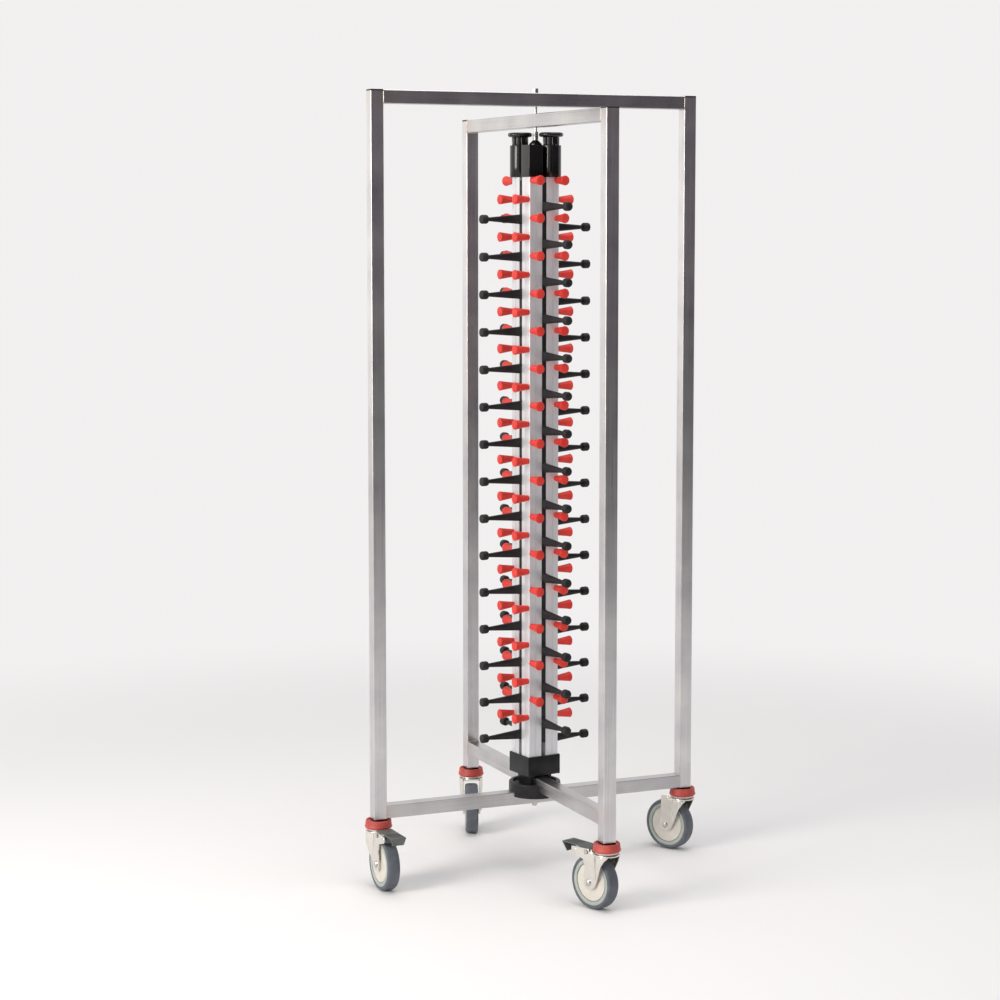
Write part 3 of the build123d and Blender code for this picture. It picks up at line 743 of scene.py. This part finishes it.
# %% Mouldings from their solids
SOFT_COPIES = {     # width of the rounding in millimetres, finish and body
    "head_block": (0.7, head_black, "column"),
    "foot_block": (0.8, foot_black, "column"),
    "hub": (0.8, foot_black, "frame"),
    "post_caps": (0.4, foot_black, "frame"),
}
for node, (width, finish, body) in SOFT_COPIES.items():
    piece("soft_" + node, soften(solid_of(node), width), [finish], body, [node])
print("softened", ", ".join(SOFT_COPIES))

# %% [markdown]
# ## Clamp knobs
#
# Two knobs on the head clamp the strips at their height. A knob is a lobed disc on a fluted stem. Cutting
# ten flutes with booleans would leave ragged edges, so the knob is spun with many steps, and its points
# are then drawn in towards the axis by a wave that runs round it. The outline's heights are from the floor.

# %% Clamp knobs
KNOB_OUTLINE = [(0, 1405.4), (14.9, 1405.4), (16.4, 1406.2), (20.1, 1406.5), (22.0, 1405.5),
                (23.0, 1403.5), (23.0, 1401.5), (21.8, 1399.2), (20.2, 1398.3), (16.4, 1398.1),
                (15.4, 1397.3), (15.4, 1394.3), (15.4, 1389.7), (15.4, 1385.0), (15.1, 1383.0),
                (3.9, 1383.0)]
KNOB_LOBES = 20
LOBE_DEPTH = 0.5
LOBED_BEYOND = 20.5         # radius from which the disc is lobed
KNOB_FLUTES = 10
FLUTE_DEPTH = 2.2
FLUTED_BEYOND = 10          # nothing nearer to the axis than this is fluted
FLUTES_FROM = 1383.6
FLUTES_TO = 1397.8


def knob_shape():
    """A spun knob with upright flutes round its stem and shallow lobes round its disc."""
    bm = lathe(KNOB_OUTLINE, steps=120)
    for vert in bm.verts:
        radius = hypot(vert.co.x, vert.co.y) / MM
        height = vert.co.z / MM
        angle = atan2(vert.co.y, vert.co.x)
        cut = 0.0
        if radius > LOBED_BEYOND:
            cut = LOBE_DEPTH * (0.5 + 0.5 * cos(KNOB_LOBES * angle))
        elif FLUTES_FROM < height < FLUTES_TO and radius > FLUTED_BEYOND:
            cut = FLUTE_DEPTH * max(0.0, cos(KNOB_FLUTES * angle)) ** 0.7
        vert.co.xy *= (radius - cut) / max(radius, 1e-6)
    return bm


for side in ("left", "right"):
    x, y, _ = joints[f"clamp_{side}_turn"]["pos_m"]
    knob = moved(knob_shape(), Matrix.Translation((x, y, 0)))
    piece(f"clamp_knob_{side}", knob, [head_black], f"clamp_{side}", [f"knob_{side}"],
          crease=40)
    print(side, "knob stands at", round(x, 3), round(y, 3))

# %% [markdown]
# ## Castors
#
# A castor is built standing at the origin with its wheel trailing along +X, and then turned and moved to
# its post. The swivel joint says where that is, and the wheel's axle says which way it trails.

# %% Places of the castors
CASTORS = ("left", "right", "front", "rear")
TRAIL = 29.5
AXLE_HEIGHT = 50.0


def castor_place(name):
    """Moves a castor from the origin to its post and turns it to its heading."""
    at = joints[f"castor_{name}_swivel"]["pos_m"]
    axle = joints[f"wheel_{name}_spin"]["axis"]
    heading = atan2(axle[1], axle[0]) - pi / 2
    return Matrix.Translation((at[0], at[1], 0)) @ Matrix.Rotation(heading, 4, "Z")


castor_at = {name: castor_place(name) for name in CASTORS}
ON_AXLE = Matrix.Translation((TRAIL * MM, 0, AXLE_HEIGHT * MM)) @ Matrix.Rotation(pi / 2, 4, "X")
print("castors at", [tuple(round(v, 3) for v in place.translation) for place in castor_at.values()])

# %% [markdown]
# ## Wheels and tyres
#
# A wheel is a nylon disc in a pale rubber rim, with a grey tyre round both. All are round about the axle,
# so the outline of one side is enough: with its heights turned round it gives the far side too. Disc and rim
# stay one piece with two finishes, because they never part.

# %% Wheels and tyres
DISC_SIDE = [(4.2, 14.2), (8.6, 14.2), (9.4, 13.8), (10.0, 11.8), (12.4, 11.2), (20.0, 10.8), (32.2, 11.0),
             (33.8, 11.0), (34.4, 10.5)]        # radius and distance from the wheel's middle plane
RIM_SIDE = [(34.4, 10.5), (34.6, 8.8), (35.5, 8.8), (35.8, 11.2), (36.6, 11.9), (39.2, 12.2), (41.6, 12.1),
            (42.4, 11.6)]
TYRE_SIDE = [(42.4, 11.5), (43.0, 12.1), (44.4, 12.5), (46.2, 12.4), (47.9, 11.7), (49.0, 10.4),
             (49.6, 8.6), (49.9, 4.4), (50.0, 0.7), (49.8, 0.0)]
WHEEL_STEPS = 96


def mirrored_outline(side):
    """An outline that runs over one side and back over the other."""
    return side + [(radius, -height) for radius, height in reversed(side) if height > 0]


def two_sided(side, corner):
    """Both sides of a ring, and the round wall between them that starts at one corner of the outline."""
    far_side = [(radius, -height) for radius, height in side]
    wall = [corner, (corner[0], -corner[1])]
    return joined(*(lathe(outline, steps=WHEEL_STEPS) for outline in (side, far_side, wall)))


def wheel_centre():
    """The disc with its bore, and the rim that the tyre sits on, as the second finish."""
    disc = two_sided(DISC_SIDE, DISC_SIDE[0])
    rim = two_sided(RIM_SIDE, RIM_SIDE[-1])
    for polygon in rim.faces:
        polygon.material_index = 1
    whole = joined(disc, rim)
    bmesh.ops.remove_doubles(whole, verts=whole.verts, dist=1e-6)
    return whole


def tyre():
    """A closed outline spun about the axle."""
    outline = mirrored_outline(TYRE_SIDE)
    outline.append(outline[0])
    return lathe(outline, steps=WHEEL_STEPS)


for name in CASTORS:
    place = castor_at[name] @ ON_AXLE
    piece(f"wheel_disc_{name}", moved(wheel_centre(), place), [disc_cream, rim_green], f"wheel_{name}",
          [f"wheel_centre_{name}"], crease=40)
    piece(f"wheel_tyre_{name}", moved(tyre(), place), [tyre_grey], f"wheel_{name}", [f"tyre_{name}"],
          crease=50)
print("wheels of", 2 * TYRE_SIDE[-2][0], "mm on", len(CASTORS), "castors")

# %% [markdown]
# ## Buffer rings
#
# A soft brick red ring under each post keeps the rack from marking walls. It is one outline again, which
# widens downwards to a soft lower edge, and all four rings are one piece, because they never move apart.

# %% Buffer rings
RING_OUTLINE = [(6.0, 125.2), (19.6, 125.2), (20.5, 126.2), (21.2, 127.3), (22.6, 127.5), (23.6, 126.8),
                (24.0, 125.2), (24.9, 117.2), (25.4, 116.2), (25.8, 115.4), (25.7, 114.0), (24.6, 112.3),
                (23.6, 111.6), (6.0, 111.5)]
rings = repeated(lathe(RING_OUTLINE, steps=72), castor_at.values())
piece("bumper_rings", rings, [ring_red], "frame", ["buffer_rings"], crease=45)
print("rings from", RING_OUTLINE[-1][1], "to", RING_OUTLINE[4][1], "mm above the floor")

# %% [markdown]
# ## Forks
#
# A fork is pressed from one sheet. Near its front edge each leg keeps the round shape of the crown, and a
# fold then leads in to the flat plate that holds the axle. A leg starts as a flat grid: its rows are moved
# to follow the front and back edges up to the crown, a function says how far out each point lies, and an
# extrusion gives the sheet its thickness. On the braked castors the legs carry ears for the pedal.

# %% Legs of a fork
LEG_SIDE = 17.4
SHEET = 2.2                 # thickness
CROWN_REACH = 23.6
CROWN_RADIUS = 24.5
FRONT_EDGE = [(37.7, 28.6), (38.2, 25.0), (39.6, 20.8), (41.4, 17.6), (43.6, 15.3), (76.7, -1.7),
              (83.2, -4.9), (89.0, -7.7), (97.0, -12.4), (104.0, -17.2), (108.2, -17.2)]
BACK_EDGE = [(37.7, 31.0), (38.6, 35.0), (41.0, 38.6), (44.6, 40.9), (50.0, 41.8), (78.4, 39.7),
             (108.2, 38.3)]
EAR_EDGE = BACK_EDGE[:6] + [(91.5, 43.9), (98.5, 69.1), (105.0, 73.7), (108.2, 73.2)]
EAR_TOP = [(108.2, 28.5, 73.2), (110.6, 29.7, 72.8), (112.2, 30.5, 34.0)]     # height, front and back x
LEG_ROWS = {48, 53, 58, 63, 68, 72, 80, 86, 94, 101, 106}     # besides those at the corners of the edges
LEG_SHARES = (0, 0.012, 0.03, 0.06) + tuple(0.1 + 0.9 * step / 30 for step in range(31))
WRAP_FROM = 34              # height from which the front edge starts to take up the crown's round
WRAP_TALL = 60
FOLD_FROM = 5               # x from which the fold leads in to the flat plate
FOLD_WIDE = 10
CURL = 0.9                  # how far the pressed front edge rolls in, and over what width
CURL_WIDE = 1.6
BEND = 3.0                  # how far the top bends in under the crown
BEND_FROM = 103.6
BEND_TALL = 4.6
BEND_FADES = 20             # x from which the bend fades out, and over what width
BEND_FADE_WIDE = 6


def along(edge, height):
    """The place of an edge, given as (height, x) points, at one height."""
    for (low, x_low), (high, x_high) in zip(edge, edge[1:]):
        if height <= high:
            return x_low + (x_high - x_low) * (height - low) / (high - low)
    return edge[-1][1]


def ease(value):
    """A smooth step from 0 to 1."""
    value = min(1.0, max(0.0, value))
    return value * value * (3 - 2 * value)


def leg_reach(x, height, front):
    """How far from the wheel's middle plane the outside of a leg lies."""
    round_front = min(CROWN_REACH, max(LEG_SIDE ** 2, CROWN_RADIUS ** 2 - x * x) ** 0.5)
    rise = ease((height - WRAP_FROM) / WRAP_TALL)
    wrap = (round_front - LEG_SIDE) * rise * (1 - ease((x - FOLD_FROM) / FOLD_WIDE))
    curl = CURL * max(0.0, 1 - (x - front) / CURL_WIDE) ** 2
    bend = BEND * max(0.0, (height - BEND_FROM) / BEND_TALL) ** 2
    bend *= 1 - ease((x - BEND_FADES) / BEND_FADE_WIDE)
    return LEG_SIDE + wrap - curl - bend


def sheet(rows, side):
    """A closed sheet whose rows are (height, front x, back x)."""
    bm = bmesh.new()
    across = len(LEG_SHARES) - 1
    up = len(rows) - 1
    bmesh.ops.create_grid(bm, x_segments=across, y_segments=up, size=0.5)
    for vert in bm.verts:
        share = LEG_SHARES[round((vert.co.x + 0.5) * across)]
        height, front, back = rows[round((vert.co.y + 0.5) * up)]
        x = front + (back - front) * share
        vert.co = (x * MM, side * leg_reach(x, height, front) * MM, height * MM)
    grown = bmesh.ops.extrude_face_region(bm, geom=bm.faces[:])["geom"]
    inside = [item for item in grown if isinstance(item, bmesh.types.BMVert)]
    bmesh.ops.translate(bm, vec=(0, -side * SHEET * MM, 0), verts=inside)
    return bm


def leg(braked, side):
    """One leg, which on a braked castor carries the ear for the pedal."""
    back = EAR_EDGE if braked else BACK_EDGE
    heights = sorted({height for height, _ in FRONT_EDGE + back} | LEG_ROWS)
    rows = [(height, along(FRONT_EDGE, height), along(back, height)) for height in heights]
    parts = [sheet(rows, side)]
    if braked:
        parts.append(sheet(EAR_TOP, side))
    return joined(*parts)


print("a leg has", len(LEG_SHARES), "points across, from", FRONT_EDGE[0][0], "to", FRONT_EDGE[-1][0], "mm")

# %% [markdown]
# The crown is the round top of the pressing, with a flat deck towards the wheel. It is spun, and the deck
# is a block. Legs, crown, deck and rivets overlap in one mesh, which is enough for a piece that is only
# looked at from outside and saves a boolean.

# %% Crowns, rivets and whole forks
CROWN_OUTLINE = [(6.2, 108.2), (22.9, 108.2), (24.1, 107.5), (24.5, 106.2), (24.3, 104.9), (23.5, 104.2),
                 (6.2, 104.2)]
RIVET_OUTLINE = [(0, 1.5), (1.6, 1.4), (2.7, 0.9), (3.0, 0.2), (3.0, -0.6), (0, -0.6)]
EAR_RIVET = (63.9, 104.6)
DECK_FRONT = 4.0            # the crown's flat part
DECK_BACK = 26.0
DECK_HALF = 16.9
DECK_BOTTOM = 104.3
DECK_TOP = 108.0


def box(low, high):
    """A block between two corners in millimetres."""
    bm = bmesh.new()
    bmesh.ops.create_cube(bm, size=1.0)
    size = [(b - a) * MM for a, b in zip(low, high)]
    middle = [(a + b) / 2 * MM for a, b in zip(low, high)]
    return moved(bm, Matrix.Translation(middle) @ Matrix.Diagonal(size + [1]))


def on_side(x, height, side, reach=0):
    """Stands what is spun about Z on one side of the fork, with its top outwards."""
    place = Matrix.Translation((x * MM, side * reach * MM, height * MM))
    return place @ Matrix.Rotation(-side * pi / 2, 4, "X")


def fork_shape(braked):
    """Crown, deck, two legs and, on a braked castor, the rivets of its ears."""
    deck = box((DECK_FRONT, -DECK_HALF, DECK_BOTTOM), (DECK_BACK, DECK_HALF, DECK_TOP))
    parts = [lathe(CROWN_OUTLINE, steps=72), deck]
    for side in (-1, 1):
        parts.append(leg(braked, side))
        if braked:
            parts.append(moved(lathe(RIVET_OUTLINE, steps=24), on_side(*EAR_RIVET, side, LEG_SIDE)))
    return joined(*parts)


BRAKED = ("left", "front")
for name in CASTORS:
    piece(f"pressed_fork_{name}", moved(fork_shape(name in BRAKED), castor_at[name]), [fork_steel],
          f"castor_{name}", [f"fork_{name}"], crease=35)
print(len(CASTORS), "forks,", len(BRAKED), "of them with ears")

# %% [markdown]
# ## Axles
#
# The wheel turns on a sleeve bolt with a domed head at each end. The head is a bright dot in the middle of
# the wheel, so its dome has enough points to round a highlight. Both heads come from one outline, which runs
# over one end and back over the other.

# %% Axles
AXLE_SIDE = [(0, 20.8), (2.4, 20.7), (4.5, 20.1), (5.8, 19.1), (6.4, 17.9), (6.4, 17.4), (4.0, 17.4)]
for name in CASTORS:
    bolt = lathe(mirrored_outline(AXLE_SIDE), steps=32)
    piece(f"axle_bolt_{name}", moved(bolt, castor_at[name] @ ON_AXLE), [plated_steel], f"castor_{name}",
          [f"axle_{name}"])
print("axle bolts are", 2 * AXLE_SIDE[0][1], "mm over their heads")

# %% [markdown]
# ## Brake pedals
#
# The left and the front castor have a grey pedal that presses a shoe on the tyre. The construction model
# gives its slanted lip, so the copy is brought to the origin, where its edges are rounded, and ribs and
# pivot pins are added in the castor's own directions before it goes back to its place.

# %% Brake pedals
PEDAL_PIVOT = (36.0, 105.8)
PEDAL_ROUND = 0.45
PIN_OUTLINE = [(0, 19.6), (2.2, 19.4), (3.8, 18.9), (4.3, 18.2), (4.3, 17.8), (3.0, 17.8), (3.0, 12.4),
               (0, 12.4)]
RIBS_AT = range(66, 92, 5)
RIB_WIDE = 1.3
RIB_HALF = 12.6
RIB_BOTTOM = 113.6
RIB_TOP = 114.6


def pedal_shape(name):
    """The construction pedal with its edges rounded, its top ribbed and its pivot pins domed."""
    bm = soften(moved(solid_of(f"pedal_{name}"), castor_at[name].inverted()), PEDAL_ROUND)
    ribs = [box((x, -RIB_HALF, RIB_BOTTOM), (x + RIB_WIDE, RIB_HALF, RIB_TOP)) for x in RIBS_AT]
    pins = [moved(lathe(PIN_OUTLINE, steps=28), on_side(*PEDAL_PIVOT, side)) for side in (-1, 1)]
    for pin in pins:
        for polygon in pin.faces:
            polygon.material_index = 1
    return joined(bm, *ribs, *pins)


for name in BRAKED:
    piece(f"brake_pedal_{name}", moved(pedal_shape(name), castor_at[name]), [pedal_grey, plated_steel],
          f"brake_{name}", [f"pedal_{name}"])
print("pedals with", len(RIBS_AT), "ribs on the", " and ".join(BRAKED), "castors")

# %% [markdown]
# ## Welds
#
# Each bar is welded to its posts all the way round. The bead is a thin ring that follows the square end of
# the bar, with the ripple that the torch leaves. A small circle is spun into a round ring, and its points
# are then moved out to the square and every second one swollen. The welds belong to no construction node,
# so they ride on the frame as an extra piece.

# %% Weld beads
BEAD_STEPS = 96
BEAD_RADIUS = 0.9
BEAD_CORNERS = 6
BEAD_AT = 12.6              # half the width of the square that the bead follows
BEAD_SQUARENESS = 14
RIPPLE = 0.22


def bead_shape():
    """A rippled ring round a square in the XY plane."""
    bm = bmesh.new()
    bmesh.ops.create_circle(bm, segments=BEAD_CORNERS, radius=BEAD_RADIUS * MM)
    upright = Matrix.Rotation(pi / 2, 4, "X") @ Matrix.Rotation(pi / 2, 4, "Z")
    moved(bm, Matrix.Translation((BEAD_AT * MM, 0, 0)) @ upright)
    bmesh.ops.spin(bm, geom=bm.verts[:] + bm.edges[:], cent=(0, 0, 0), axis=(0, 0, 1), angle=2 * pi,
                   steps=BEAD_STEPS, use_merge=True, use_duplicate=False)
    bmesh.ops.remove_doubles(bm, verts=bm.verts, dist=1e-6)
    for vert in bm.verts:
        angle = atan2(vert.co.y, vert.co.x)
        swell = 1.0 + RIPPLE * (round(angle * BEAD_STEPS / (2 * pi)) % 2)
        out = (hypot(vert.co.x, vert.co.y) - BEAD_AT * MM) * swell
        reach = BEAD_AT * MM * squircle(angle, BEAD_SQUARENESS) + out
        vert.co = (reach * cos(angle), reach * sin(angle), vert.co.z * swell)
    return bm


def weld_finish():
    """Steel that has been molten: duller than the tube, and straw coloured in patches."""
    paint = Finish("weld_steel")
    patches = paint.noise(paint.position, 240, detail=2.0)
    paint.set(
        Base_Color=paint.blend(patches, rgb(0.46, 0.41, 0.37), rgb(0.66, 0.63, 0.60)),
        Metallic=1.0,
        Roughness=0.32 + patches * 0.16,
    )
    return paint.material


bead_places = []
for end in (-1, 1):
    for level in ("bottom", "top"):
        outer_end = Matrix.Translation((end * bar_end, 0, bar_height[f"outer_{level}_bar"]))
        inner_end = Matrix.Translation((0, end * bar_end, bar_height[f"inner_{level}_bar"]))
        bead_places.append(outer_end @ Matrix.Rotation(pi / 2, 4, "Y"))
        bead_places.append(inner_end @ Matrix.Rotation(pi / 2, 4, "X"))
piece("weld_beads", repeated(bead_shape(), bead_places), [weld_finish()], "frame",
      crease=60)
print(len(bead_places), "weld beads")

# %% [markdown]
# ## Sizes
#
# The looks must not change the size of the rack.

# %% Sizes
print("end of the looks")
